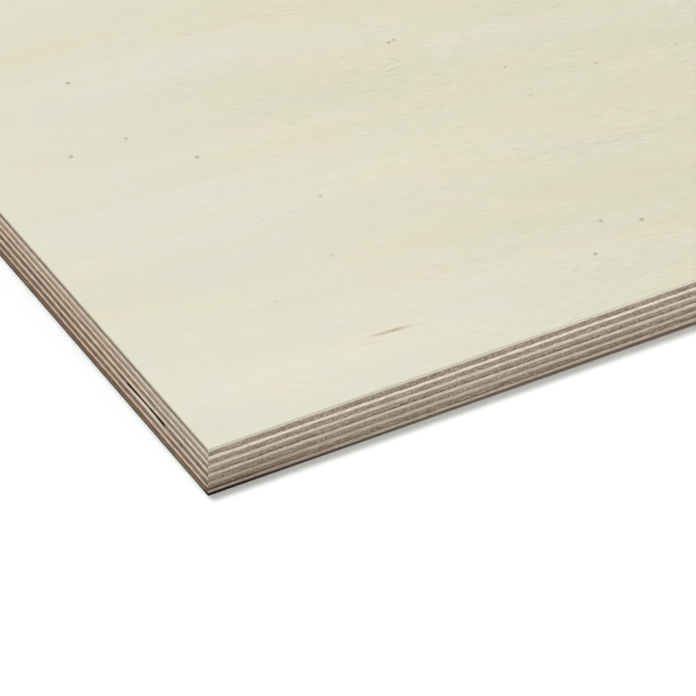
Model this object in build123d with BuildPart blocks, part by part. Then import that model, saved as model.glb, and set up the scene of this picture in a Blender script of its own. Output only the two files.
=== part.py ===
"""Birch plywood sheet: eleven veneers laid crosswise, with one open core gap in its end.

X runs along the face grain, Y across it and Z up from the centre of the underside.
Veneers are numbered from the face, 1, down to the back. All lengths are in millimetres.
"""

import os

from build123d import *

os.makedirs("parts", exist_ok=True)

# The sheet as it is sold
sheet_length = 1220.0
sheet_width = 610.0

# The veneers: sanding leaves the two outer ones thinner than the inner ones
face_thickness = 1.1
inner_thickness = 1.4
back_thickness = 1.3
inner_count = 9
arris_radius = 0.2

# The core gap, where two strips of one long-grain veneer don't meet at the sheet's low X end
gap_ply_number = 7
gap_corner_distance = 24.0
gap_width = 21.0
gap_depth = 60.0
gap_end_width = 7.0

# How far the neighbours swell into the gap, where the press had nothing to squeeze
swell_from_below = 0.5
swell_from_above = 0.25

last_inner_number = inner_count + 1
low_end = -sheet_length / 2
gap_centre = -sheet_width / 2 + gap_corner_distance + gap_width / 2
gap_narrowing_share = gap_end_width / gap_width


def underside_of(number):
    """Height of a veneer's underside: the back veneer and every inner one below it."""
    return back_thickness + (last_inner_number - number) * inner_thickness


def swell_of(number):
    """Crown of the arch on a veneer below the gap: full in the first one, nothing in the back veneer."""
    return swell_from_below * (last_inner_number + 1 - number) / (last_inner_number - gap_ply_number)


def gap_arch(foot, rise):
    """Low arch that runs in with the gap: its feet follow the gap's walls and its crown shrinks with them."""
    with BuildPart() as arch:
        for distance, size_share in ((0, 1), (gap_depth, gap_narrowing_share)):
            section_origin = (low_end + distance, gap_centre, foot)
            half_width = gap_width * size_share / 2
            with BuildSketch(Plane(origin=section_origin, x_dir=(0, 1, 0), z_dir=(1, 0, 0))):
                with BuildLine():
                    crown = ThreePointArc((-half_width, 0), (0, rise * size_share), (half_width, 0))
                    Line(crown @ 1, crown @ 0)
                make_face()
        loft()
    return arch.part


def save(veneer, name):
    """Label a finished veneer and write it to its own file."""
    veneer.part.label = name
    export_step(veneer.part, f"parts/{name}.step")


# Face veneer: sanded, with its upper arris eased all round
with BuildPart() as face_veneer:
    with BuildSketch(Plane.XY.offset(underside_of(1))):
        Rectangle(sheet_length, sheet_width)
    extrude(amount=face_thickness)
    fillet(face_veneer.edges().group_by(Axis.Z)[-1], arris_radius)
save(face_veneer, "face_veneer")

# Inner veneers: even numbers have their grain across the sheet, odd ones along it
for number in range(2, last_inner_number + 1):
    underside = underside_of(number)
    topside = underside + inner_thickness
    with BuildPart() as inner_veneer:
        with BuildSketch(Plane.XY.offset(underside)):
            Rectangle(sheet_length, sheet_width)
        extrude(amount=inner_thickness)

        if number == gap_ply_number - 1:
            add(gap_arch(underside, -swell_from_above))

        if number == gap_ply_number:
            with BuildSketch(Plane.XY.offset(underside)):
                with BuildLine():
                    Polyline(
                        (low_end, gap_centre - gap_width / 2),
                        (low_end + gap_depth, gap_centre - gap_end_width / 2),
                        (low_end + gap_depth, gap_centre + gap_end_width / 2),
                        (low_end, gap_centre + gap_width / 2),
                        close=True,
                    )
                make_face()
            extrude(amount=inner_thickness, mode=Mode.SUBTRACT)

        if number > gap_ply_number:
            add(gap_arch(topside, swell_of(number)))
            if number < last_inner_number:
                add(gap_arch(underside, swell_of(number + 1)), mode=Mode.SUBTRACT)
    direction = "cross" if number % 2 == 0 else "long"
    save(inner_veneer, f"{direction}_ply_{number:02d}")

# Back veneer: sanded like the face, with its lower arris eased all round
with BuildPart() as back_veneer:
    with BuildSketch():
        Rectangle(sheet_length, sheet_width)
    extrude(amount=back_thickness)
    fillet(back_veneer.edges().group_by(Axis.Z)[0], arris_radius)
save(back_veneer, "back_veneer")
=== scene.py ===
"""Birch plywood sheet: veneers with sawn edges, an open core gap and two sanded faces, on a white stage.

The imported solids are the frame: every level, outline and gap below is read from them. Lengths are in
metres, apart from those that a comment or docstring gives in millimetres.
"""

import math
from typing import NamedTuple

import bpy
import numpy as np
from mathutils import Matrix, Vector


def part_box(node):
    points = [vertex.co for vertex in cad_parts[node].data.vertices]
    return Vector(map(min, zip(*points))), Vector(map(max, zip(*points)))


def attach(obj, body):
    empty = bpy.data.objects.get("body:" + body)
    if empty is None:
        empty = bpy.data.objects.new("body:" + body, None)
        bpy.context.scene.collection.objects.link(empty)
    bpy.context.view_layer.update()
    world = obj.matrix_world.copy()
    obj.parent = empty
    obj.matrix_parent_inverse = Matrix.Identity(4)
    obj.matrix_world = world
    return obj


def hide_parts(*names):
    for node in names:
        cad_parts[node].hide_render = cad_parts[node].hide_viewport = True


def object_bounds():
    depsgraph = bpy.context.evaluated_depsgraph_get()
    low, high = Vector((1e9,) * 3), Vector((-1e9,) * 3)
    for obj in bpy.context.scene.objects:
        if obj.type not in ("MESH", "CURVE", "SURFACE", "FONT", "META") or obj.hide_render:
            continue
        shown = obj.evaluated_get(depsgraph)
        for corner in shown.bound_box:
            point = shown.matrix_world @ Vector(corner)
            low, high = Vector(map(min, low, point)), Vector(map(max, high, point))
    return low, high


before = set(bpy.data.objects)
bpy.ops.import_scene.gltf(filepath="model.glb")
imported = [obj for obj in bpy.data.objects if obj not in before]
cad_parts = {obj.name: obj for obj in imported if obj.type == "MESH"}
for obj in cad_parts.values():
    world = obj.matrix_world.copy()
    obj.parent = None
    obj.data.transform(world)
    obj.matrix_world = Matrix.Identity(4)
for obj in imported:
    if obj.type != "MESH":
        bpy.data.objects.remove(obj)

bl_info = {
    "name": "Plywood Sheet",
    "version": (1, 0, 0),
    "blender": (4, 5, 0),
    "location": "View3D > Sidebar > Plywood",
    "description": "Dresses a birch plywood sheet with sawn edges, a core gap and sanded faces",
    "category": "Add Mesh",
}

MM = 0.001
WHITE = (1.0, 1.0, 1.0)


# The sheet, as the frame gives it: veneers are counted from the face down

FACE = 1
BACK = len(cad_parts)
GAP_PLY = 7
CAD_LOW, CAD_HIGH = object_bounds()
LOW_X, LOW_Y, FLOOR = CAD_LOW
HIGH_X, HIGH_Y, TOP = CAD_HIGH
NEAR_CORNER = (LOW_X, LOW_Y, FLOOR)
SHEET = np.array([(LOW_X, LOW_Y), (HIGH_X, LOW_Y), (HIGH_X, HIGH_Y), (LOW_X, HIGH_Y)])
BACK_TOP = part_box("back_veneer")[1].z
INNER_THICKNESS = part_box("cross_ply_02")[1].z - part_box("cross_ply_02")[0].z


def node_of(number):
    """Node of a veneer: even ones lie crosswise."""
    if number == FACE:
        return "face_veneer"
    if number == BACK:
        return "back_veneer"
    return f"{'long' if number % 2 else 'cross'}_ply_{number:02d}"


def underside_of(number):
    """Flat height of a veneer's underside: the back veneer and every inner one below it."""
    if number == BACK:
        return FLOOR
    return BACK_TOP + (BACK - 1 - number) * INNER_THICKNESS


def read_gap():
    """Plan corners of the core gap: the mouth's low side, its two inner corners, the mouth's high side."""
    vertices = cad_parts[node_of(GAP_PLY)].data.vertices
    place = np.array([vertex.co[:2] for vertex in vertices]).round(6)
    at_end = place[:, 0] <= place[:, 0].min()
    mouth = np.unique(place[at_end, 1])[1:-1]
    inside = place[(np.abs(place[:, 0]) < HIGH_X - MM) & (np.abs(place[:, 1]) < HIGH_Y - MM)]
    inside = inside[inside[:, 0] >= inside[:, 0].max() - MM]
    return np.array([
        (LOW_X, mouth[0]),
        (inside[0, 0], inside[:, 1].min()),
        (inside[0, 0], inside[:, 1].max()),
        (LOW_X, mouth[1]),
    ])


GAP = read_gap()
GAP_MIDDLE = (GAP[0, 1] + GAP[3, 1]) / 2
GAP_HALF_WIDTH = (GAP[3, 1] - GAP[0, 1]) / 2
GAP_DEPTH = GAP[1, 0] - LOW_X


# Settings that a user would change


def length(name, description, default):
    """A length property in metres."""
    return bpy.props.FloatProperty(
        name=name, description=description, default=default, precision=5, unit="LENGTH", subtype="DISTANCE"
    )


def colour(name, description, default):
    """A linear colour property."""
    return bpy.props.FloatVectorProperty(
        name=name, description=description, default=default, size=3, min=0, max=1, subtype="COLOR"
    )


def angle(name, description, default):
    """An angle property, given in degrees."""
    return bpy.props.FloatProperty(
        name=name, description=description, default=math.radians(default), unit="ROTATION", subtype="ANGLE"
    )


def plain(name, description, default):
    """A plain number property."""
    return bpy.props.FloatProperty(name=name, description=description, default=default)


class PlywoodEdgeSettings(bpy.types.PropertyGroup):
    """Shape of the sawn edges."""

    step: length("Step", "Length of one face along the edge", 2.0 * MM)
    wander: length("Wander", "How far a glue line strays from its level", 0.25 * MM)
    groove: length("Glue groove", "Depth of the groove along a glue line", 0.05 * MM)
    end_recess: length("End grain recess", "How far end grain sits behind long grain", 0.03 * MM)
    roughness: length("Saw roughness", "Height of the saw's roughness on end grain", 0.03 * MM)
    arris: length("Arris radius", "Radius of the eased arris on the two outer veneers", 0.2 * MM)


class PlywoodColours(bpy.types.PropertyGroup):
    """Colours of the wood and its glue."""

    face_pale: colour("Face, pale", "Palest cream of the sanded face", (0.807, 0.791, 0.706))
    face_deep: colour("Face, deep", "Deepest cream of the sanded face", (0.702, 0.678, 0.511))
    skin_near: colour("Skin, near", "Edge of the face veneer at the near corner", (0.624, 0.575, 0.470))
    skin_far: colour("Skin, far", "Edge of the face veneer farther out", (0.700, 0.650, 0.530))
    face_dark_fleck: colour("Dark fleck", "Darker dashes along the face grain", (0.590, 0.560, 0.430))
    face_pale_fleck: colour("Pale fleck", "Paler dashes along the face grain", (0.830, 0.800, 0.670))
    knot: colour("Pin knot", "Pin knots", (0.280, 0.245, 0.150))
    streak: colour("Streak", "Brown streak on the face", (0.480, 0.370, 0.230))
    long_pale: colour("Long grain, pale", "Palest edge along the grain", (0.780, 0.710, 0.585))
    long_brown: colour("Long grain, brown", "Brownest edge along the grain", (0.470, 0.355, 0.280))
    end_pale: colour("End grain, pale", "Palest edge across the grain", (0.385, 0.320, 0.240))
    end_brown: colour("End grain, brown", "Brownest edge across the grain", (0.190, 0.116, 0.074))
    pore: colour("Pore", "Pores and saw dirt in the end grain", (0.090, 0.062, 0.040))
    # Also the colour of the painted shade at the near corner's foot and of the painted shadow on the floor
    # there
    glue_and_shade: colour("Glue", "Glue lines and glued faces", (0.110, 0.075, 0.045))
    floor: colour("Floor", "Floor of the stage", (0.900, 0.950, 0.950))
    # Painted shadow: dark floor colour under the sheet, where the sheet only shades the floor
    contact_shadow: colour("Contact", "Floor where the sheet covers it", (0.312, 0.240, 0.190))


class PlywoodStageSettings(bpy.types.PropertyGroup):
    """Camera, floor and light."""

    focal: plain("Focal length", "Focal length in pixels of the square picture", 4000.0)
    picture: plain("Picture width", "Width of the square picture in pixels", 696.0)
    yaw: angle("Yaw", "Turn of the view from the sheet's width towards its length", 31.39)
    pitch: angle("Pitch", "How far the view looks down", 37.59)
    roll: angle("Roll", "Tilt of the camera about its view", 1.52)
    corner_right: length("Corner right", "Near corner of the face, right of the view's middle", -36.43 * MM)
    corner_up: length("Corner up", "Near corner of the face, above the view's middle", -26.49 * MM)
    corner_ahead: length("Corner ahead", "Near corner of the face, in front of the camera", 1041.3 * MM)
    floor_drop: length("Floor drop", "Shadow gap under the corners of the sheet", 0.65 * MM)
    bow_along: length("Bow along", "How much wider the shadow gap is halfway along", 1.22 * MM)
    bow_across: length("Bow across", "How much wider the shadow gap is halfway across", 0.30 * MM)
    floor_size: length("Floor size", "Side of the square floor", 8.0)
    sky: plain("Sky", "Strength of the even white light", 0.38)
    key: plain("Key", "Strength of the soft key light from above", 1.76)
    fill: plain("Fill", "Strength of the low white fill light on the long edge", 1.22)
    warm_fill: plain("Warm fill", "Strength of the low warm fill light on the end", 0.8)


# Edge surfaces

CORNER_STEPS = 2
WANDER_WAVES = (25 * MM, 220 * MM)
GROOVE_WAVES = (5 * MM, 40 * MM)
GROOVE_SEED = 100
ROUGHNESS_SEED = 200
FILLET_ROWS = 4
ROW_SHARES = (0.0, 0.07, 0.2, 0.4, 0.6, 0.8, 0.93, 1.0)
GROOVE_SHARE = 0.07
LONG_GRAIN_ROUGHNESS_SHARE = 0.3


def inset(corners, distance):
    """Corners moved in by a distance from every side: each is where its two shifted sides cross."""
    side = np.roll(corners, -1, axis=0) - corners
    inward = np.stack([-side[:, 1], side[:, 0]], axis=1)
    inward /= np.linalg.norm(inward, axis=1, keepdims=True)
    before = np.roll(inward, 1, axis=0)
    bisector = before + inward
    return corners + distance * bisector / (1 + (before * inward).sum(axis=1, keepdims=True))


class Outline:
    """A closed plan outline, walked anticlockwise in even steps.

    share is how far a column is along its side, and away falls from 1 to 0 at the corners.
    """

    def __init__(self, corners, step):
        self.corners = corners
        side = np.roll(corners, -1, axis=0) - corners
        self.side_length = np.linalg.norm(side, axis=1)
        self.counts = np.maximum(1, np.rint(self.side_length / step).astype(int))
        self.side = np.repeat(np.arange(len(corners)), self.counts)
        self.starts = np.concatenate([[0], np.cumsum(self.counts)[:-1]])
        self.share = (np.arange(len(self.side)) - self.starts[self.side]) / self.counts[self.side]
        inward = np.stack([-side[:, 1], side[:, 0]], axis=1) / self.side_length[:, None]
        self.inward = inward[self.side]
        reach = np.minimum(self.share, 1 - self.share) * self.side_length[self.side]
        self.away = np.clip(reach / (CORNER_STEPS * step), 0, 1)
        self.faces_x = np.abs(self.inward[:, 0]) > 0.5

    def ring(self, distance=0.0):
        """Plan points of every column on the outline moved in by a distance."""
        corners = inset(self.corners, distance)
        following = np.roll(corners, -1, axis=0)
        share = self.share[:, None]
        return corners[self.side] * (1 - share) + following[self.side] * share


def waves(seed, plan, shortest, longest, count=6):
    """Sum of sines over the plan, from -1 to 1: seeded directions, phases and wavelengths in a range."""
    random = np.random.default_rng(seed)
    turn = random.uniform(0, math.tau, count)
    phase = random.uniform(0, math.tau, count)
    wavelength = np.geomspace(shortest, longest, count)
    run = plan @ np.stack([np.cos(turn), np.sin(turn)])
    return np.sin(math.tau * run / wavelength + phase).mean(axis=1)


def swell_at(number, plan):
    """How far the level under a veneer bulges at the gap: a parabola between its walls, less farther in."""
    flat = underside_of(number)
    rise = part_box(node_of(number + 1))[1].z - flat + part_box(node_of(number))[0].z - flat
    across = np.clip(1 - ((plan[:, 1] - GAP_MIDDLE) / GAP_HALF_WIDTH) ** 2, 0, 1)
    inwards = np.clip(1 - (plan[:, 0] - LOW_X) / GAP_DEPTH, 0, 1)
    return rise * across * inwards


def level_under(number, plan, settings):
    """Height of the glue line under a veneer: its flat level, a slow wander and the swell at the gap."""
    flat = np.full(len(plan), underside_of(number))
    if number == BACK:
        return flat
    return flat + settings.wander * waves(number, plan, *WANDER_WAVES) + swell_at(number, plan)


def groove_at(number, plan, settings):
    """Depth of the groove along the glue line under a veneer, never less than a third of the full one."""
    return settings.groove * (2 + waves(GROOVE_SEED + number, plan, *GROOVE_WAVES)) / 3


def fillet_rows(radius, upper):
    """(inset, rise) of the rows round an eased arris, from low to high, as steps of a quarter circle."""
    turns = np.linspace(0, math.pi / 2, FILLET_ROWS)
    rows = [(radius * (1 - math.cos(turn)), radius * math.sin(turn)) for turn in turns]
    return rows if upper else [(inward, -rise) for inward, rise in reversed(rows)]


def edge_rows(number, outline, settings):
    """Rows of an edge from the underside up, as (plan points, heights, share of the veneer's height)."""
    plan = outline.ring()
    bottom = level_under(number, plan, settings)
    top = np.full(len(plan), TOP) if number == FACE else level_under(number - 1, plan, settings)
    bottom_groove = groove_at(number, plan, settings)
    top_groove = groove_at(number - 1, plan, settings)
    random = np.random.default_rng(ROUGHNESS_SEED + number)
    end_grain = outline.faces_x == bool(number % 2)
    rough = settings.roughness * np.where(end_grain, 1.0, LONG_GRAIN_ROUGHNESS_SHARE)
    recess = settings.end_recess * end_grain

    if number == FACE:
        top = top - settings.arris
        top_groove = top_groove * 0
    if number == BACK:
        bottom = bottom + settings.arris
        bottom_groove = bottom_groove * 0

    rows = []
    if number == BACK:
        for inward, rise in fillet_rows(settings.arris, upper=False)[:-1]:
            rows.append((outline.ring(inward), bottom + rise, np.zeros(len(plan))))
    for share in ROW_SHARES:
        near_bottom = max(0.0, 1 - share / GROOVE_SHARE)
        near_top = max(0.0, 1 - (1 - share) / GROOVE_SHARE)
        between = 1 - near_bottom - near_top
        depth = near_bottom * bottom_groove + near_top * top_groove
        depth = depth + between * (recess + rough * random.random(len(plan)))
        moved = plan + outline.inward * (depth * outline.away)[:, None]
        rows.append((moved, bottom + (top - bottom) * share, np.full(len(plan), share)))
    if number == FACE:
        for inward, rise in fillet_rows(settings.arris, upper=True)[1:]:
            rows.append((outline.ring(inward), top + rise, np.ones(len(plan))))
    return rows


# Veneer meshes

CAP_INSET = 15 * MM
EDGE_SLOT, FACE_SLOT, GLUED_SLOT = 0, 1, 2
GAP_WALLS = (4, 5, 6)
# Shares of a texture's height or width, and how many lengths of edge lie one above another in it
OUTER_CAP_SHARE = 0.8
INNER_CAP_SHARE = 0.01
SANDED_SHARE = 0.79
SLIVER_DROP_SHARE = 0.003
SLIVER_SHARE = 0.002
TEXTURE_MARGIN_SHARE = 0.004
STRIP_MARGIN_SHARE = 0.08
OUTER_STRIP_ROWS = 8
INNER_STRIP_ROWS = 32


def cap_fans(outline, first, hub):
    """Triangles that close a ring: half sides fan to their nearer hub corner, and one joins each two fans."""
    count = len(outline.side)
    column = np.arange(count)
    middle = outline.share + 0.5 / outline.counts[outline.side]
    corner = (outline.side + (middle >= 0.5)) % len(outline.corners)
    fans = np.stack([first + column, first + (column + 1) % count, hub + corner], axis=1)
    side = np.arange(len(outline.corners))
    switch = outline.starts + np.ceil(outline.counts / 2 - 0.5).astype(int)
    joins = np.stack([first + switch % count, hub + (side + 1) % len(side), hub + side], axis=1)
    return np.concatenate([fans, joins])


def texture_layout(columns, bands, cap_plan, sanded, outer):
    """Place in the texture, from 0 to 1, of every corner of a veneer's faces: its edge, then its caps.

    The narrow edge is cut into equal lengths, laid one above another. A sanded cap lies below them as in
    plan, and a glued one is a sliver between the two.
    """
    strip_base = OUTER_CAP_SHARE if outer else INNER_CAP_SHARE
    strip_rows = OUTER_STRIP_ROWS if outer else INNER_STRIP_ROWS
    per_row = math.ceil(columns / strip_rows)
    column = np.arange(columns)
    corner_column = np.array([0, 1, 1, 0])
    corner_row = np.array([0, 0, 1, 1])
    up = (np.arange(bands)[:, None, None] + corner_row) / bands
    line = (column // per_row)[None, :, None]
    along = ((column % per_row)[None, :, None] + corner_column) / per_row
    in_line = STRIP_MARGIN_SHARE + (1 - 2 * STRIP_MARGIN_SHARE) * up
    strip_v = strip_base + (1 - strip_base) * (line + in_line) / strip_rows
    room = 1 - 2 * TEXTURE_MARGIN_SHARE
    strip_u = np.broadcast_to(TEXTURE_MARGIN_SHARE + room * along, strip_v.shape)
    strip = np.stack([strip_u, strip_v], axis=-1).reshape(-1, 2)
    spread = (cap_plan - SHEET[0]) / (SHEET[2] - SHEET[0])
    cap_start = np.where(sanded, TEXTURE_MARGIN_SHARE, strip_base - SLIVER_DROP_SHARE)
    cap_v = cap_start + np.where(sanded, SANDED_SHARE, SLIVER_SHARE) * spread[:, 1]
    cap = np.stack([TEXTURE_MARGIN_SHARE + room * spread[:, 0], cap_v], axis=1)
    return np.concatenate([strip, cap])


def veneer_mesh(number, settings):
    """Closed mesh of a veneer: rows carried round its outline, closed above and below by fans.

    Its faces store end_grain, its points store ply_height, and it keeps its own texture layout.
    """
    corners = np.concatenate([SHEET, GAP[::-1]]) if number == GAP_PLY else SHEET
    outline = Outline(corners, settings.step)
    rows = edge_rows(number, outline, settings)
    columns = len(outline.side)
    bands = len(rows) - 1
    sides = len(corners)
    hubs = inset(corners, CAP_INSET)
    flat_top = TOP if number == FACE else underside_of(number - 1)

    rings = np.concatenate([np.column_stack([plan, height]) for plan, height, _ in rows])
    bottom_hub = np.column_stack([hubs, np.full(sides, underside_of(number))])
    top_hub = np.column_stack([hubs, np.full(sides, flat_top)])
    points = np.concatenate([rings, bottom_hub, top_hub])
    ply_height = np.concatenate([share for _, _, share in rows] + [np.zeros(sides), np.ones(sides)])

    column = np.arange(columns)
    lower = np.stack([column, (column + 1) % columns], axis=1)
    ring_quads = np.concatenate([lower, lower[:, ::-1] + columns], axis=1)
    quads = (np.arange(bands)[:, None, None] * columns + ring_quads).reshape(-1, 4)
    bottom_first, top_first = len(rings), len(rings) + sides
    bottom_fans = cap_fans(outline, 0, bottom_first)[:, ::-1]
    top_fans = cap_fans(outline, bands * columns, top_first)
    bottom_face = np.arange(bottom_first, bottom_first + sides)[::-1]
    top_face = np.arange(top_first, top_first + sides)
    faces = quads.tolist() + bottom_fans.tolist() + top_fans.tolist()
    faces += [bottom_face.tolist(), top_face.tolist()]

    mesh = bpy.data.meshes.new(node_of(number))
    mesh.from_pydata(points.tolist(), [], faces)

    bottom_slot = FACE_SLOT if number == BACK else GLUED_SLOT
    top_slot = FACE_SLOT if number == FACE else GLUED_SLOT
    slots = np.concatenate([
        np.tile(np.where(np.isin(outline.side, GAP_WALLS), GLUED_SLOT, EDGE_SLOT), bands),
        np.full(len(bottom_fans), bottom_slot),
        np.full(len(top_fans), top_slot),
        [bottom_slot, top_slot],
    ])
    mesh.polygons.foreach_set("material_index", slots.astype(np.int32))

    end_grain = np.zeros(len(faces), np.float32)
    end_grain[:len(quads)] = np.tile(outline.faces_x == bool(number % 2), bands)
    on_faces = mesh.attributes.new("end_grain", "FLOAT", "FACE")
    on_faces.data.foreach_set("value", end_grain)
    on_points = mesh.attributes.new("ply_height", "FLOAT", "POINT")
    on_points.data.foreach_set("value", ply_height.astype(np.float32))

    cap_corners = np.concatenate([bottom_fans.ravel(), top_fans.ravel(), bottom_face, top_face])
    cap_sizes = [3] * (len(bottom_fans) + len(top_fans)) + [sides, sides]
    sanded = np.repeat(slots[len(quads):] == FACE_SLOT, cap_sizes)
    texture = texture_layout(columns, bands, points[cap_corners, :2], sanded, number in (FACE, BACK))
    layout = mesh.uv_layers.new(name="OFBake")
    layout.uv.foreach_set("vector", texture.astype(np.float32).ravel())

    mesh.validate()
    mesh.update()
    return mesh


# Shader nodes

SPOT_RIM = 1.2


class Graph:
    """Adds shader nodes, one a call, and returns the output that the next call reads."""

    def __init__(self, name, shift=(0, 0, 0), turn=0.0):
        self.shift = shift
        self.turn = turn
        self.material = bpy.data.materials.new(name)
        self.material.use_nodes = True
        self.tree = self.material.node_tree
        self.shader = self.tree.nodes["Principled BSDF"]
        self.place = self.node("ShaderNodeTexCoord").outputs["Object"]
        self.grain = self.place

    def node(self, kind, **settings):
        """A new node with its settings."""
        node = self.tree.nodes.new(kind)
        for key, value in settings.items():
            setattr(node, key, value)
        return node

    def feed(self, socket, value):
        """Links an output to a socket, or sets a plain value on it."""
        if isinstance(value, bpy.types.NodeSocket):
            self.tree.links.new(value, socket)
        else:
            socket.default_value = value

    def math(self, operation, first, second=0.0, third=0.0, clamp=False):
        """One sum on numbers."""
        node = self.node("ShaderNodeMath", operation=operation, use_clamp=clamp)
        for socket, value in zip(node.inputs, (first, second, third)):
            self.feed(socket, value)
        return node.outputs[0]

    def add(self, first, second, clamp=False):
        """The sum of two numbers."""
        return self.math("ADD", first, second, clamp=clamp)

    def times(self, first, second):
        """The product of two numbers."""
        return self.math("MULTIPLY", first, second)

    def scale(self, value, factor, start=0.0):
        """The value times a factor, plus a start."""
        return self.math("MULTIPLY_ADD", value, factor, start)

    def centred(self, value, reach):
        """A value from 0 to 1, spread over a reach that has 0 in its middle."""
        return self.scale(value, reach, -reach / 2)

    def scaled(self, sizes, middle, turn=0.0, place=None):
        """Object coordinates from a middle, turned, in steps of sizes in millimetres: 0 flattens an axis."""
        node = self.node("ShaderNodeMapping", vector_type="TEXTURE")
        node.inputs["Location"].default_value = middle
        node.inputs["Rotation"].default_value = (0, 0, turn)
        node.inputs["Scale"].default_value = [size * MM for size in sizes]
        self.feed(node.inputs["Vector"], self.place if place is None else place)
        return node.outputs[0]

    def sway(self, sizes, reach):
        """Makes the grain wave: slow noise pushes its coordinates across, over a reach in millimetres."""
        push = self.node("ShaderNodeCombineXYZ")
        self.feed(push.inputs["Y"], self.centred(self.noise(sizes, detail=1.0), reach * MM))
        total = self.node("ShaderNodeVectorMath", operation="ADD")
        self.feed(total.inputs[0], self.place)
        self.feed(total.inputs[1], push.outputs[0])
        self.grain = total.outputs[0]

    def noise(self, sizes, detail=2.0, roughness=0.5):
        """Noise from 0 to 1 with grains of these sizes in millimetres: along the grain, across it and up."""
        node = self.node("ShaderNodeTexNoise")
        self.feed(node.inputs["Vector"], self.scaled(sizes, self.shift, self.turn, self.grain))
        node.inputs["Scale"].default_value = 1.0
        node.inputs["Detail"].default_value = detail
        node.inputs["Roughness"].default_value = roughness
        return node.outputs["Fac"]

    def ease(self, value, low, high, bottom=0.0, top=1.0):
        """Smooth step from bottom to top as the value goes from low to high."""
        node = self.node("ShaderNodeMapRange", interpolation_type="SMOOTHSTEP")
        for socket, part in zip(node.inputs, (value, low, high, bottom, top)):
            self.feed(socket, part)
        return node.outputs[0]

    def blend(self, share, first, second, kind="MIX"):
        """Colour between first and second."""
        node = self.node("ShaderNodeMix", data_type="RGBA", blend_type=kind)
        self.feed(node.inputs["Factor"], share)
        sockets = [socket for socket in node.inputs if socket.type == "RGBA"]
        for socket, value in zip(sockets, (first, second)):
            self.feed(socket, value if isinstance(value, bpy.types.NodeSocket) else (*value, 1.0))
        return next(socket for socket in node.outputs if socket.type == "RGBA")

    def tint(self, share, colour, value, low, high):
        """The colour times a tint that goes from low to high with the value, by a share."""
        return self.blend(share, colour, self.blend(value, low, high), "MULTIPLY")

    def attribute(self, name):
        """A number stored on the mesh."""
        return self.node("ShaderNodeAttribute", attribute_name=name).outputs["Fac"]

    def bump(self, height, distance, strength):
        """Bump from a height from 0 to 1, with its full height in metres."""
        node = self.node("ShaderNodeBump")
        node.inputs["Strength"].default_value = strength
        node.inputs["Distance"].default_value = distance
        self.feed(node.inputs["Height"], height)
        self.feed(self.shader.inputs["Normal"], node.outputs[0])

    def coat(self, colour, roughness, gloss):
        """Gives the surface its colour, its roughness and its gloss."""
        self.feed(self.shader.inputs["Base Color"], colour)
        self.shader.inputs["Roughness"].default_value = roughness
        self.shader.inputs["Specular IOR Level"].default_value = gloss


def from_near_corner(graph):
    """X, Y and Z of a place, in millimetres from the near corner of the underside."""
    node = graph.node("ShaderNodeSeparateXYZ")
    graph.feed(node.inputs[0], graph.scaled((1, 1, 1), NEAR_CORNER))
    return node.outputs


def spot(graph, along, across, half_length, half_width, turn=0.0):
    """Oval spot, in millimetres from the near corner: 1 in its middle, fading to 0 just past its rim."""
    middle = (LOW_X + along * MM, LOW_Y + across * MM, 0)
    reach = graph.node("ShaderNodeVectorMath", operation="LENGTH")
    graph.feed(reach.inputs[0], graph.scaled((half_length, half_width, 0), middle, turn))
    return graph.ease(reach.outputs["Value"], 0.0, SPOT_RIM, 1.0, 0.0)


# Sanded faces

# Pin knots near the near corner: along and across from it and half length, in millimetres, and how dark
PIN_KNOTS = (
    (46.5, 169.5, 0.9, 1.0),
    (48, 136, 0.75, 0.85),
    (30, 135.5, 0.85, 1.0),
    (61.5, 118, 0.9, 0.85),
    (83, 84.5, 0.9, 0.6),
    (71.5, 58.5, 0.75, 0.35),
    (124, 143, 0.7, 0.25),
    (47, 47.5, 0.5, 0.5),
    (140.5, 143, 0.85, 1.0),
    (142.5, 143.5, 0.75, 0.95),
    (137, 135, 0.7, 0.45),
    (164, 115, 0.6, 0.9),
    (162.5, 98.5, 0.6, 0.8),
    (189, 103.5, 0.7, 0.7),
    (216, 101, 0.7, 0.55),
    (146, 36, 0.7, 1.1),
    (156.5, 31, 0.85, 1.15),
    (136, 23.5, 0.75, 1.1),
)
# Broad tones there: along, across, half length and half width in millimetres, degrees, how much deeper
BROAD_TONES = (
    (108, 135, 62, 17, -15, 0.15),
    (160, 54, 80, 22, -8, 0.19),
    (8, 70, 60, 20, -8, 0.14),
    (40, 195, 45, 20, -10, 0.16),
    (75, 18, 80, 18, 0, -0.14),
    (55, 98, 90, 16, -3, -0.07),
    (125, 155, 80, 16, -18, -0.11),
)
# Brown streak: along, across, half length and half width in millimetres
STREAK = (67.9, 20.7, 7.6, 0.95)
STREAK_TURN = math.radians(-4.5)

# Sizes of grain in millimetres, along the grain and across it
BAND_GRAIN = (700, 55, 0)
NARROW_GRAIN = (130, 7, 0)
MOTTLE_GRAIN = (40, 12, 0)
WARMTH_GRAIN = (90, 22, 0)
DASH_GRAIN = (5.5, 0.7, 0)
GATHERING_GRAIN = (45, 18, 0)
FIBRE_GRAIN = (14, 0.45, 0)
STREAK_GRAIN = (3.0, 1.2, 0)
SWAY_GRAIN = (75, 45, 0)
SWAY_REACH = 20.0
GRAIN_TURN = math.radians(-6.5)
RING_SPACING = 26.0
RING_SWAY = 9.0

# Smooth steps: where the value starts and ends, then what comes out there
MIDDLE_STEP = (0.35, 0.65)
DEEPENING_STEP = (-40.0, 300.0, 0.29, 0.87)
GATHERING_STEP = (0.35, 0.65, 0.19, 0.52)
GATHERING_AWAY_STEP = (10.0, 180.0, 0.40, 1.2)
DARK_DASH_STEP = (0.52, 0.78)
PALE_DASH_STEP = (0.48, 0.22)
STREAK_STEP = (0.35, 0.60, 0.70, 1.0)

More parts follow.
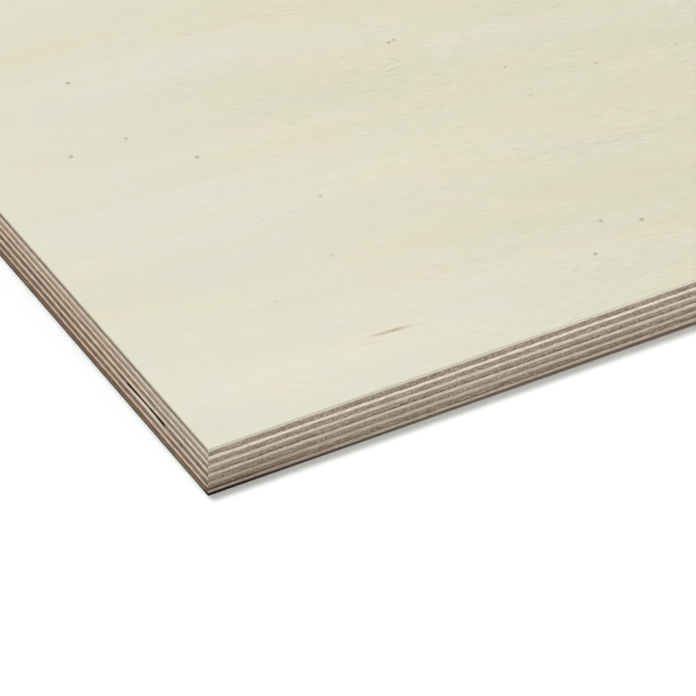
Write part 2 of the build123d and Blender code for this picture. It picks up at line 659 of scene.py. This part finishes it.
# Tones, shares of a tint, and tints
ACROSS_SHARE = 0.05
BAND_DEPTH = 1.1
NARROW_DEPTH = 0.36
RING_SHARE = 0.03
RING_TINT = (0.60, 0.52, 0.40)
MOTTLE_SHARE = 0.08
GREEN_TINT = (0.85, 1.0, 0.80)
PINK_TINT = (1.0, 0.86, 0.86)
WARMTH_SHARE = 0.55
WARM_TINT = (1.02, 0.99, 0.88)
COOL_TINT = (0.97, 0.985, 0.985)
FIBRE_SHARE = 0.10
FIBRE_TINT = (0.2, 0.2, 0.2)

# Pin knots: lengths in millimetres, and shares of a knot's length or a cell of the net
KNOT_SHARE = 0.75
KNOT_WIDTH_SHARE = 1.1
LISTED_KNOTS_REACH = (265.0, 215.0)
KNOT_SPACING = (62.0, 48.0, 0)
KNOT_SIZE_GRAIN = (150, 150, 0)
KNOT_SIZE_SHARE = 0.034
EMPTY_CELL_SHARE = 0.45

SANDED_SHIFT = (0.731, 0.387, 0)
SANDED_ROUGHNESS = 0.6
SANDED_GLOSS = 0.2
SANDED_BUMP = 0.02 * MM
SANDED_BUMP_SHARE = 0.4


def face_tones(graph, number, plan, away, colours):
    """Slow tones along the grain, deeper away from the near corner, with rings, mottle and warmth."""
    deepening = graph.ease(away, *DEEPENING_STEP)
    bands = graph.noise(BAND_GRAIN)
    narrow = graph.noise(NARROW_GRAIN, detail=3.0)
    slow = graph.add(graph.centred(bands, BAND_DEPTH), graph.centred(narrow, NARROW_DEPTH))
    if number == FACE:
        for along, across, half_length, half_width, turn, depth in BROAD_TONES:
            zone = spot(graph, along, across, half_length, half_width, math.radians(turn))
            slow = graph.scale(zone, depth, slow)
    tone = graph.add(deepening, slow, clamp=True)
    wood = graph.blend(tone, colours.face_pale, colours.face_deep)
    rings = graph.add(graph.scale(plan["Y"], 1 / RING_SPACING), graph.scale(bands, RING_SWAY))
    figure = graph.scale(graph.math("SINE", graph.times(rings, math.tau)), 0.5, 0.5)
    wood = graph.tint(RING_SHARE, wood, figure, RING_TINT, WHITE)
    mottle = graph.ease(graph.noise(MOTTLE_GRAIN, detail=3.0), *MIDDLE_STEP)
    wood = graph.tint(MOTTLE_SHARE, wood, mottle, GREEN_TINT, PINK_TINT)
    warmth = graph.ease(graph.noise(WARMTH_GRAIN, detail=5.0, roughness=0.7), *MIDDLE_STEP)
    return graph.tint(WARMTH_SHARE, wood, warmth, WARM_TINT, COOL_TINT)


def scattered_knots(graph):
    """Pin knots over the sheet: one in about half of the cells of an uneven net."""
    net = graph.node("ShaderNodeTexVoronoi", voronoi_dimensions="2D")
    graph.feed(net.inputs["Vector"], graph.scaled(KNOT_SPACING, graph.shift, graph.turn))
    net.inputs["Scale"].default_value = 1.0
    size = graph.times(graph.noise(KNOT_SIZE_GRAIN), KNOT_SIZE_SHARE)
    dot = graph.ease(net.outputs["Distance"], 0.0, size, 1.0, 0.0)
    chosen = graph.node("ShaderNodeSeparateColor")
    graph.feed(chosen.inputs[0], net.outputs["Color"])
    return graph.times(dot, graph.math("GREATER_THAN", chosen.outputs[0], EMPTY_CELL_SHARE))


def listed_marks(graph, plan, wood, knots, colours):
    """The streak and the listed knots of the face, where the scattered ones stay out."""
    beyond = [graph.math("GREATER_THAN", plan[axis], reach) for axis, reach in zip("XY", LISTED_KNOTS_REACH)]
    knots = graph.times(knots, graph.math("MAXIMUM", *beyond))
    for along, across, half_length, depth in PIN_KNOTS:
        knot = spot(graph, along, across, half_length, half_length * KNOT_WIDTH_SHARE)
        knots = graph.math("MAXIMUM", knots, graph.times(knot, depth))
    uneven = graph.ease(graph.noise(STREAK_GRAIN), *STREAK_STEP)
    streak = graph.times(spot(graph, *STREAK, STREAK_TURN), uneven)
    return graph.blend(streak, wood, colours.streak), knots


def sanded_face(number, colours):
    """Sanded birch: slow tones along the grain, pale and dark dashes, fibres and pin knots."""
    shift = [number * part for part in SANDED_SHIFT]
    graph = Graph(f"sanded_birch_{number:02d}", shift, GRAIN_TURN)
    graph.sway(SWAY_GRAIN, SWAY_REACH)
    plan = from_near_corner(graph)
    away = graph.scale(plan["Y"], ACROSS_SHARE, plan["X"])
    wood = face_tones(graph, number, plan, away, colours)

    dashes = graph.noise(DASH_GRAIN, detail=1.0)
    gathered = graph.ease(graph.noise(GATHERING_GRAIN), *GATHERING_STEP)
    gathered = graph.times(gathered, graph.ease(away, *GATHERING_AWAY_STEP))
    dark = graph.times(graph.ease(dashes, *DARK_DASH_STEP), gathered)
    pale = graph.times(graph.ease(dashes, *PALE_DASH_STEP), gathered)
    wood = graph.blend(dark, wood, colours.face_dark_fleck)
    wood = graph.blend(pale, wood, colours.face_pale_fleck)
    fibres = graph.noise(FIBRE_GRAIN, detail=3.0)
    wood = graph.tint(FIBRE_SHARE, wood, fibres, FIBRE_TINT, WHITE)

    knots = scattered_knots(graph)
    if number == FACE:
        wood, knots = listed_marks(graph, plan, wood, knots, colours)
    wood = graph.blend(graph.times(knots, KNOT_SHARE), wood, colours.knot)

    graph.coat(wood, SANDED_ROUGHNESS, SANDED_GLOSS)
    graph.bump(graph.math("SUBTRACT", fibres, dashes), SANDED_BUMP, SANDED_BUMP_SHARE)
    return graph.material


# Sawn edges


class VeneerLook(NamedTuple):
    """Look of a veneer's edge, in shares.

    long_brown and end_brown are how brown its long grain and its end grain are. stain_low and stain_high
    are how far its neighbours stain its long grain. glue is how dark the line under its end grain is,
    soft_top how much of its end grain pales upwards, and burn how much the saw browned it on the end.
    """

    long_brown: float
    end_brown: float
    stain_low: float
    stain_high: float
    glue_and_shade: float
    soft_top: float = 0.0
    burn: float = 1.0


VENEER_LOOKS = {
    1: VeneerLook(0.30, 0.50, 0.25, 0.00, 0.55, burn=0.5),
    2: VeneerLook(0.15, 0.22, 0.02, 0.30, 0.10, burn=0.3),
    3: VeneerLook(0.02, 0.02, 0.20, 0.08, 0.42, 0.8),
    4: VeneerLook(0.04, 0.20, -0.05, 0.32, 0.15),
    5: VeneerLook(0.38, 0.40, 0.24, 0.12, 0.20),
    6: VeneerLook(0.15, 0.22, 0.20, 0.06, 1.00),
    7: VeneerLook(0.50, 0.75, 0.18, 0.17, 0.20),
    8: VeneerLook(0.28, 0.27, 0.18, 0.06, 0.60),
    9: VeneerLook(0.72, 0.75, 0.20, 0.17, 0.20),
    10: VeneerLook(0.46, 0.46, 0.28, 0.06, 0.75),
    11: VeneerLook(0.80, 1.00, 0.05, 0.12, 0.00),
}

# Sizes of grain in millimetres, along both edges and up
LONG_GRAIN = (3.5, 3.5, 0.28)
TICK_GRAIN = (2.0, 2.0, 0.22)
END_GRAIN = (0.9, 0.9, 0.5)
PATCH_GRAIN = (6, 6, 0.6)
PORE_GRAIN = (0.55, 0.55, 0.32)
DOTTED_GRAIN = (1.4, 1.4, 1.2)
RAGGED_GRAIN = (1.8, 1.8, 0.7)
DRIFT_GRAIN = (30, 30, 8)

# Smooth steps, as for the sanded faces: over noise, the veneer's height or millimetres from the near corner
WIDE_STEP = (0.3, 0.7)
TICK_STEP = (0.57, 0.72, 0.0, 0.6)
PORE_STEP = (0.58, 0.70)
DOTTED_STEP = (0.38, 0.60, 0.25, 1.0)
GLUE_LINE_LOW, GLUE_LINE_HIGH = 0.12, 0.42
FACE_END_STEP = (0.35, 1.0)
FACE_SIDE_STEP = (0.3, 0.9)
# Painted shade on the face veneer's eased arris
FACE_ARRIS_SHADE_STEP = (0.93, 1.0, 0.0, 0.16)
SKIN_STEP = (40.0, 130.0)
# Painted light on the back veneer's lower arris
BACK_ARRIS_LIGHT_STEP = (0.0, 0.10, 0.45, 0.0)
# Painted shade low on the edge near the near corner
CORNER_SHADE_STEP = (1.0, 9.0, 0.35, 0.08)
BURN_REACH = 60.0
RAGGED_REACH = 0.7
LOWER_SOFTNESS = 0.20
UPPER_SOFTNESS = 0.10

# Shares and tints: a pair is the two ends of a range
LONG_SHADES = (0.76, 1.18)
END_SHADES = (1.34, 0.72)
PATCH_TINTS = ((0.5, 0.5, 0.5), (1.4, 1.4, 1.4))
PATCH_SHARE = 0.20
BROWN_PATCH_SHARE = 0.60
PORE_SHARE = 0.6
SOFT_TOP_SHARE = 0.65
SOFT_TOP_SHADE = 0.9
FACE_END_SHADE = 0.80
SAW_BURN = (1.0, 0.925, 0.92)
# Strength of the painted highlight under the gap
GAP_HIGHLIGHT_SHARE = 0.9
DRIFT_SHARE = 0.25
DRIFT_TINTS = ((0.4, 0.4, 0.4), (1.2, 1.2, 1.2))
# How dark the painted foot shade is
FOOT_SHADE_DEPTH = 0.2

# Painted shade and a painted highlight round a place on the edge, as half length and half width in
# millimetres
CORNER_SHADE_REACH = (60.0, 3.0)
GAP_HIGHLIGHT_REACH = (3.0, 13.0)
LOW_PLY_SHADE_REACH = (32.0, 3.0)
FOOT_SHADE_REACH = (34.0, 3.0)
# Painted shade at the foot of the near corner: reach, then a smooth step over the veneer's height
FOOT_SHADES = {
    BACK - 1: [(LOW_PLY_SHADE_REACH, 0.10, 0.50, 0.90, 0.0)],
    BACK: [(LOW_PLY_SHADE_REACH, 0.62, 0.98, 0.0, 0.80), (FOOT_SHADE_REACH, 0.00, 0.23, 0.95, 0.0)],
}

SAWN_SHIFT = (0.137, 0.071, 0.053)
SAWN_ROUGHNESS = 0.8
SAWN_GLOSS = 0.1
SAWN_BUMP = 0.05 * MM
SAWN_BUMP_SHARE = 0.6
GLUED_ROUGHNESS = 0.8
GLUED_GLOSS = 0.5
GLUED_SHADE = 0.2


def long_colour_of(number, colours):
    """Colour of a veneer's long grain."""
    return Vector(colours.long_pale).lerp(Vector(colours.long_brown), VENEER_LOOKS[number].long_brown)


def end_colour_of(number, colours):
    """Colour of a veneer's end grain."""
    return Vector(colours.end_pale).lerp(Vector(colours.end_brown), VENEER_LOOKS[number].end_brown)


def long_grain(graph, number, colours, height, ragged):
    """Pale streaked band with dark ticks, stained towards the veneers above and below it."""
    look = VENEER_LOOKS[number]
    pale = long_colour_of(number, colours)
    below = end_colour_of(min(number + 1, BACK), colours)
    above = end_colour_of(max(number - 1, FACE), colours)
    streaks = graph.noise(LONG_GRAIN, detail=4.0, roughness=0.6)
    wood = graph.blend(graph.ease(streaks, *WIDE_STEP), *[pale * shade for shade in LONG_SHADES])
    ticks = graph.ease(graph.noise(TICK_GRAIN), *TICK_STEP)
    wood = graph.blend(ticks, wood, below)
    raised = graph.add(height, ragged)
    lower = graph.ease(raised, look.stain_low - LOWER_SOFTNESS, look.stain_low + LOWER_SOFTNESS)
    wood = graph.blend(lower, below, wood)
    if look.stain_high:
        depth = graph.math("SUBTRACT", graph.math("SUBTRACT", 1.0, height), ragged)
        upper = graph.ease(depth, look.stain_high - UPPER_SOFTNESS, look.stain_high + UPPER_SOFTNESS)
        wood = graph.blend(upper, above, wood)
    return wood, streaks


def end_grain(graph, number, colours, height, ragged):
    """Dark porous band, with long patches where it is brown and a dotted line of glue along its foot."""
    look = VENEER_LOOKS[number]
    brown = end_colour_of(number, colours)
    grains = graph.noise(END_GRAIN, detail=3.0, roughness=0.6)
    wood = graph.blend(graph.ease(grains, *WIDE_STEP), *[brown * shade for shade in END_SHADES])
    patches = graph.ease(graph.noise(PATCH_GRAIN, detail=3.0), *MIDDLE_STEP)
    wood = graph.tint(PATCH_SHARE + BROWN_PATCH_SHARE * look.end_brown, wood, patches, *PATCH_TINTS)
    pores = graph.ease(graph.noise(PORE_GRAIN, detail=0.0), *PORE_STEP)
    wood = graph.blend(graph.times(pores, PORE_SHARE), wood, colours.pore)
    dotted = graph.ease(graph.noise(DOTTED_GRAIN), *DOTTED_STEP)
    line = graph.ease(graph.add(height, ragged), GLUE_LINE_LOW, GLUE_LINE_HIGH, look.glue_and_shade, 0.0)
    wood = graph.blend(graph.times(line, dotted), wood, colours.glue_and_shade)
    if look.soft_top:
        pale = long_colour_of(number - 1, colours) * SOFT_TOP_SHADE
        upper = graph.ease(height, 1.0 - look.soft_top, 1.0, 0.0, SOFT_TOP_SHARE)
        wood = graph.blend(upper, wood, pale)
    return wood, pores


def face_skin(graph, side, ends, plan, height, ragged, colours):
    """The face veneer's two sorts of edge, paler towards the sanded face, with painted shade on the arris of
    its long grain.
    """
    raised = graph.add(height, ragged)
    ends = graph.blend(graph.ease(raised, *FACE_END_STEP), ends, Vector(colours.face_deep) * FACE_END_SHADE)
    skin = graph.blend(graph.ease(plan["X"], *SKIN_STEP), colours.skin_near, colours.skin_far)
    side = graph.blend(graph.ease(raised, *FACE_SIDE_STEP), side, skin)
    # Painted shade on the eased arris at the top of the long-grain side
    side = graph.blend(graph.ease(height, *FACE_ARRIS_SHADE_STEP), side, colours.end_pale)
    return side, ends


def edge_marks(graph, number, wood, plan, height, colours):
    """Marks on both grains: a painted highlight under the gap, painted light on the lowest arris, a slow
    drift, painted shade at the near corner.
    """
    # Painted highlight on the veneer just under the core gap
    if number == GAP_PLY + 1:
        gap_highlight = spot(graph, 0, (GAP_MIDDLE - LOW_Y) / MM, *GAP_HIGHLIGHT_REACH)
        wood = graph.blend(graph.times(gap_highlight, GAP_HIGHLIGHT_SHARE), wood, colours.long_pale)
    # Painted light on the back veneer's lower arris, which faces down into shade
    if number == BACK:
        wood = graph.blend(graph.ease(height, *BACK_ARRIS_LIGHT_STEP), wood, colours.long_pale)
    wood = graph.tint(DRIFT_SHARE, wood, graph.noise(DRIFT_GRAIN), *DRIFT_TINTS)
    # Painted shade: darker low on the edge within a few centimetres of the near corner
    painted_corner_shade = graph.times(spot(graph, 0, 0, *CORNER_SHADE_REACH), graph.ease(plan["Z"], *CORNER_SHADE_STEP))
    wood = graph.blend(painted_corner_shade, wood, colours.glue_and_shade)
    # Painted shade on the two lowest veneers beside the near corner
    for reach, *step in FOOT_SHADES.get(number, ()):
        run = graph.times(spot(graph, 0, 0, *reach), graph.ease(height, *step))
        wood = graph.blend(run, wood, Vector(colours.glue_and_shade) * FOOT_SHADE_DEPTH)
    return wood


def sawn_edge(number, colours):
    """Sawn edge of a veneer: long grain on two sides, end grain on the other two, and marks over both."""
    graph = Graph(f"sawn_edge_{number:02d}", [number * part for part in SAWN_SHIFT])
    height = graph.attribute("ply_height")
    plan = from_near_corner(graph)
    ragged = graph.centred(graph.noise(RAGGED_GRAIN, detail=4.0, roughness=0.7), RAGGED_REACH)
    side, streaks = long_grain(graph, number, colours, height, ragged)
    ends, pores = end_grain(graph, number, colours, height, ragged)
    if number == FACE:
        side, ends = face_skin(graph, side, ends, plan, height, ragged, colours)
    burn = graph.ease(plan["Y"], 0.0, BURN_REACH, 0.0, VENEER_LOOKS[number].burn)
    if number % 2:
        ends = graph.blend(burn, ends, SAW_BURN, "MULTIPLY")
    else:
        side = graph.blend(burn, side, SAW_BURN, "MULTIPLY")
    wood = graph.blend(graph.attribute("end_grain"), side, ends)
    wood = edge_marks(graph, number, wood, plan, height, colours)

    graph.coat(wood, SAWN_ROUGHNESS, SAWN_GLOSS)
    graph.bump(graph.math("SUBTRACT", streaks, pores), SAWN_BUMP, SAWN_BUMP_SHARE)
    return graph.material


def glued_face(colours):
    """Glue-stained face that lies against the next veneer."""
    graph = Graph("glued_face")
    stain = [GLUED_SHADE * part for part in colours.glue_and_shade]
    graph.coat((*stain, 1.0), GLUED_ROUGHNESS, GLUED_GLOSS)
    return graph.material


# Stage

FLOOR_ROUGHNESS = 0.5
FLOOR_GLOSS = 0.0
FLOOR_GLOW = 0.08
FLOOR_STEPS = 16
# Painted shadow under the sheet, in millimetres from the near corner
CONTACT_REACH = (34.0, 8.0)
CONTACT_SHADE = 0.4
PALER_STEP = (35.0, 75.0)
PALER_SHADE = 1.65

KEY_DIRECTION = (-0.004, 0.165, 1.0)
KEY_SPREAD = 9.0
FILL_DIRECTION = (-0.05, -1.0, 0.16)
WARM_FILL_DIRECTION = (-1.0, -0.05, 0.16)
FILL_SPREAD = 25.0
WARM = (1.0, 0.90, 0.80)
SENSOR_WIDTH = 36.0


def seen_directly(tree):
    """1 for rays from the camera and for those that gloss or glass sends on, else 0."""
    path = tree.nodes.new("ShaderNodeLightPath")
    total = path.outputs["Is Camera Ray"]
    for name in ("Is Glossy Ray", "Is Transmission Ray"):
        larger = tree.nodes.new("ShaderNodeMath")
        larger.operation = "MAXIMUM"
        tree.links.new(total, larger.inputs[0])
        tree.links.new(path.outputs[name], larger.inputs[1])
        total = larger.outputs[0]
    return total


def white_floor(colours):
    """Pale floor with a faint glow that only the view sees."""
    graph = Graph("floor_white")
    graph.coat((*colours.floor, 1.0), FLOOR_ROUGHNESS, FLOOR_GLOSS)
    graph.shader.inputs["Emission Color"].default_value = (*WHITE, 1.0)
    glow = graph.times(seen_directly(graph.tree), FLOOR_GLOW)
    graph.feed(graph.shader.inputs["Emission Strength"], glow)
    return graph.material


def painted_shadow_floor(colours):
    """Floor under the sheet, painted with its shadow: near black at the near corner, where the two touch, and
    paler farther out.
    """
    graph = Graph("floor_painted_shadow")
    plan = from_near_corner(graph)
    paler = Vector(colours.contact_shadow) * PALER_SHADE
    shade = graph.blend(graph.ease(plan["X"], *PALER_STEP), colours.contact_shadow, paler)
    # Painted shadow, darkest round the near corner
    shade = graph.blend(spot(graph, 0, 0, *CONTACT_REACH), shade, Vector(colours.glue_and_shade) * CONTACT_SHADE)
    graph.coat(shade, FLOOR_ROUGHNESS, FLOOR_GLOSS)
    return graph.material


def add_floor(context, settings):
    """A square floor just under the sheet, lifted to white where nothing shades it.

    Its height falls from the sheet's corners by the sum of two parabolas, one along the length and one
    across it, as if the sheet were bowed.
    """
    half = settings.floor_size / 2
    along = np.concatenate([[-half], np.linspace(LOW_X, HIGH_X, FLOOR_STEPS + 1), [half]])
    across = np.concatenate([[-half], np.linspace(LOW_Y, HIGH_Y, FLOOR_STEPS + 1), [half]])
    x, y = np.meshgrid(along, across)
    height = FLOOR - settings.floor_drop
    for place, low, high, bow in (
        (x, LOW_X, HIGH_X, settings.bow_along),
        (y, LOW_Y, HIGH_Y, settings.bow_across),
    ):
        share = np.clip((place - low) / (high - low), 0, 1)
        height = height - bow * 4 * share * (1 - share)
    points = np.stack([x, y, height], axis=-1).reshape(-1, 3)
    columns = len(along)
    first = (np.arange(len(across) - 1)[:, None] * columns + np.arange(columns - 1)).ravel()
    faces = np.stack([first, first + 1, first + columns + 1, first + columns], axis=1)
    mesh = bpy.data.meshes.new("floor")
    mesh.from_pydata(points.tolist(), [], faces.tolist())
    # Cells under the sheet wear the floor's painted shadow
    covered = np.zeros((len(across) - 1, columns - 1), np.int32)
    covered[1:-1, 1:-1] = 1
    mesh.polygons.foreach_set("material_index", covered.ravel())
    mesh.materials.append(white_floor(context.scene.plywood_colours))
    mesh.materials.append(painted_shadow_floor(context.scene.plywood_colours))
    floor = bpy.data.objects.new("floor", mesh)
    context.scene.collection.objects.link(floor)


def add_lights(context, settings):
    """Even white light all round, a soft key light from above and two low fill lights on the sawn edges."""
    world = bpy.data.worlds.new("white_room")
    world.use_nodes = True
    context.scene.world = world
    tree = world.node_tree
    background = tree.nodes["Background"]
    background.inputs["Color"].default_value = (*WHITE, 1.0)
    strength = tree.nodes.new("ShaderNodeMix")
    strength.data_type = "FLOAT"
    tree.links.new(seen_directly(tree), strength.inputs["Factor"])
    strength.inputs["A"].default_value = settings.sky
    strength.inputs["B"].default_value = 1.0
    tree.links.new(strength.outputs[0], background.inputs["Strength"])

    for name, energy, tint, direction, spread in (
        ("key_light", settings.key, WHITE, KEY_DIRECTION, KEY_SPREAD),
        ("fill_light", settings.fill, WHITE, FILL_DIRECTION, FILL_SPREAD),
        ("warm_fill_light", settings.warm_fill, WARM, WARM_FILL_DIRECTION, FILL_SPREAD),
    ):
        lamp = bpy.data.lights.new(name, "SUN")
        lamp.energy = energy
        lamp.color = tint
        lamp.angle = math.radians(spread)
        light = bpy.data.objects.new(name, lamp)
        light.rotation_euler = Vector(direction).to_track_quat("Z", "Y").to_euler()
        context.scene.collection.objects.link(light)


def add_camera(context, settings):
    """Camera placed by where it sees the near corner, after its yaw, pitch and roll."""
    yaw, pitch, roll = settings.yaw, settings.pitch, settings.roll
    ahead = Vector((
        math.sin(yaw) * math.cos(pitch), math.cos(yaw) * math.cos(pitch), -math.sin(pitch)
    ))
    level_right = Vector((math.cos(yaw), -math.sin(yaw), 0))
    level_up = level_right.cross(ahead)
    right = math.cos(roll) * level_right + math.sin(roll) * level_up
    up = math.cos(roll) * level_up - math.sin(roll) * level_right
    corner = Vector((LOW_X, LOW_Y, TOP))
    place = corner - settings.corner_right * right - settings.corner_up * up - settings.corner_ahead * ahead

    lens = bpy.data.cameras.new("photo_camera")
    lens.sensor_width = SENSOR_WIDTH
    lens.lens = SENSOR_WIDTH * settings.focal / settings.picture
    camera = bpy.data.objects.new("photo_camera", lens)
    axes = Matrix((right, up, -ahead)).transposed().to_4x4()
    camera.matrix_world = Matrix.Translation(place) @ axes
    context.scene.collection.objects.link(camera)
    context.scene.camera = camera


# Operators


def add_veneer(context, number):
    """Builds one veneer, gives it its three finishes and puts it in its node's place."""
    scene = context.scene
    mesh = veneer_mesh(number, scene.plywood_edges)
    colours = scene.plywood_colours
    mesh.materials.append(sawn_edge(number, colours))
    glued = bpy.data.materials.get("glued_face") or glued_face(colours)
    mesh.materials.append(sanded_face(number, colours) if number in (FACE, BACK) else glued)
    mesh.materials.append(glued)
    node = node_of(number)
    veneer = bpy.data.objects.new(f"{node}_dressed", mesh)
    scene.collection.objects.link(veneer)
    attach(veneer, "root")
    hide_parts(node)


class PLYWOOD_OT_outer_veneers(bpy.types.Operator):
    """Add the sanded face veneer and back veneer"""

    bl_idname = "plywood.outer_veneers"
    bl_label = "Outer Veneers"

    def execute(self, context):
        for number in (FACE, BACK):
            add_veneer(context, number)
        return {"FINISHED"}


class PLYWOOD_OT_cross_plies(bpy.types.Operator):
    """Add the inner veneers whose grain runs across the sheet"""

    bl_idname = "plywood.cross_plies"
    bl_label = "Cross Plies"

    def execute(self, context):
        for number in range(2, BACK, 2):
            add_veneer(context, number)
        return {"FINISHED"}


class PLYWOOD_OT_long_plies(bpy.types.Operator):
    """Add the inner veneers whose grain runs along the sheet, one of them with the core gap"""

    bl_idname = "plywood.long_plies"
    bl_label = "Long Plies"

    def execute(self, context):
        for number in range(3, BACK, 2):
            add_veneer(context, number)
        return {"FINISHED"}


class PLYWOOD_OT_stage(bpy.types.Operator):
    """Add the pale floor, the lights and the camera"""

    bl_idname = "plywood.stage"
    bl_label = "Stage"

    def execute(self, context):
        settings = context.scene.plywood_stage
        add_floor(context, settings)
        add_lights(context, settings)
        add_camera(context, settings)
        context.scene.view_settings.view_transform = "Standard"
        return {"FINISHED"}


class PLYWOOD_PT_sheet(bpy.types.Panel):
    """Sidebar panel that lists the operators and their settings"""

    bl_idname = "PLYWOOD_PT_sheet"
    bl_label = "Plywood Sheet"
    bl_space_type = "VIEW_3D"
    bl_region_type = "UI"
    bl_category = "Plywood"

    def draw(self, context):
        for operator in OPERATORS:
            self.layout.operator(operator.bl_idname)
        for name in SETTINGS:
            group = getattr(context.scene, name)
            for key in group.bl_rna.properties.keys():
                if key not in ("name", "rna_type"):
                    self.layout.prop(group, key)


OPERATORS = (PLYWOOD_OT_outer_veneers, PLYWOOD_OT_cross_plies, PLYWOOD_OT_long_plies, PLYWOOD_OT_stage)
SETTINGS = {
    "plywood_edges": PlywoodEdgeSettings,
    "plywood_colours": PlywoodColours,
    "plywood_stage": PlywoodStageSettings,
}


def register():
    """Registers the settings, the operators and the panel."""
    for group in (*SETTINGS.values(), *OPERATORS, PLYWOOD_PT_sheet):
        bpy.utils.register_class(group)
    for name, group in SETTINGS.items():
        setattr(bpy.types.Scene, name, bpy.props.PointerProperty(type=group))


def unregister():
    """Takes all of it back."""
    for name in SETTINGS:
        delattr(bpy.types.Scene, name)
    for group in (PLYWOOD_PT_sheet, *reversed(OPERATORS), *reversed(SETTINGS.values())):
        bpy.utils.unregister_class(group)


def main():
    """Builds the sheet and its stage."""
    register()
    bpy.ops.plywood.outer_veneers()
    bpy.ops.plywood.cross_plies()
    bpy.ops.plywood.long_plies()
    bpy.ops.plywood.stage()


if __name__ == "__main__":
    main()
